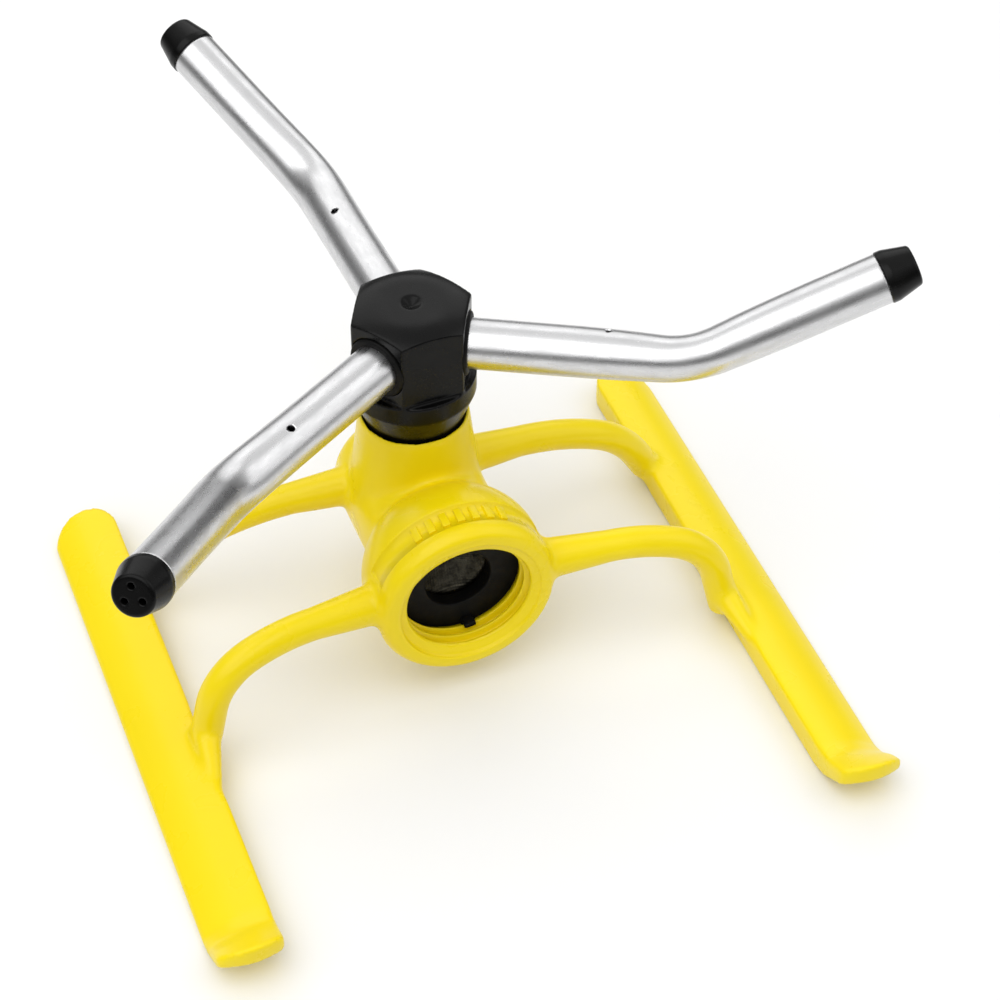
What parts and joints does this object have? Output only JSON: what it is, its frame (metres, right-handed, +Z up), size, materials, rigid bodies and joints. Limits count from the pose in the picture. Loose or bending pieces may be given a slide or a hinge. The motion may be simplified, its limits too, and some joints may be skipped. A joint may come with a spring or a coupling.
{
  "type": "lawn sprinkler",
  "caption": "Rotating garden sprinkler: bent tube arms with nozzle caps on a spinning hub, over a moulded two-runner base with a threaded hose inlet.",
  "frame": {"origin": "the point on the ground under the rotor's spin axis, level with the underside of the runners", "axes": "+Z up along the spin axis; -Y out of the hose inlet; +X to the right seen from the hose"},
  "size_m": [0.167, 0.1841, 0.0845],
  "materials": {
    "yellow_plastic": "moulded, satin gloss",
    "black_plastic": "moulded, satin gloss",
    "tube_aluminium": "polished tube",
    "black_rubber": "matte",
    "stainless_steel": "turned",
    "white_acetal": "smooth"
  },
  "bodies": {
    "base": {"inlet_body": "yellow_plastic", "runner_left": "yellow_plastic", "runner_right": "yellow_plastic", "leg_front_left": "yellow_plastic", "leg_front_right": "yellow_plastic", "leg_rear_left": "yellow_plastic", "leg_rear_right": "yellow_plastic", "hose_washer": "black_rubber", "inlet_screen": "stainless_steel", "bearing_bush": "white_acetal"},
    "rotor": {"hub": "black_plastic", "spindle": "stainless_steel", "retaining_clip": "stainless_steel", "thrust_washer": "white_acetal", "keeper_washer": "white_acetal", "arm_tube_1": "tube_aluminium", "arm_tube_2": "tube_aluminium", "arm_tube_3": "tube_aluminium", "arm_seal_1": "black_rubber", "arm_seal_2": "black_rubber", "arm_seal_3": "black_rubber", "nozzle_cap_1": "black_plastic", "nozzle_cap_2": "black_plastic", "nozzle_cap_3": "black_plastic"}
  },
  "joints": [
    {"name": "rotor_spin", "type": "hinge", "parent": "base", "child": "rotor", "pos_m": [0, 0, 0.0476], "axis": [0, 0, 1], "continuous": true}
  ]
}
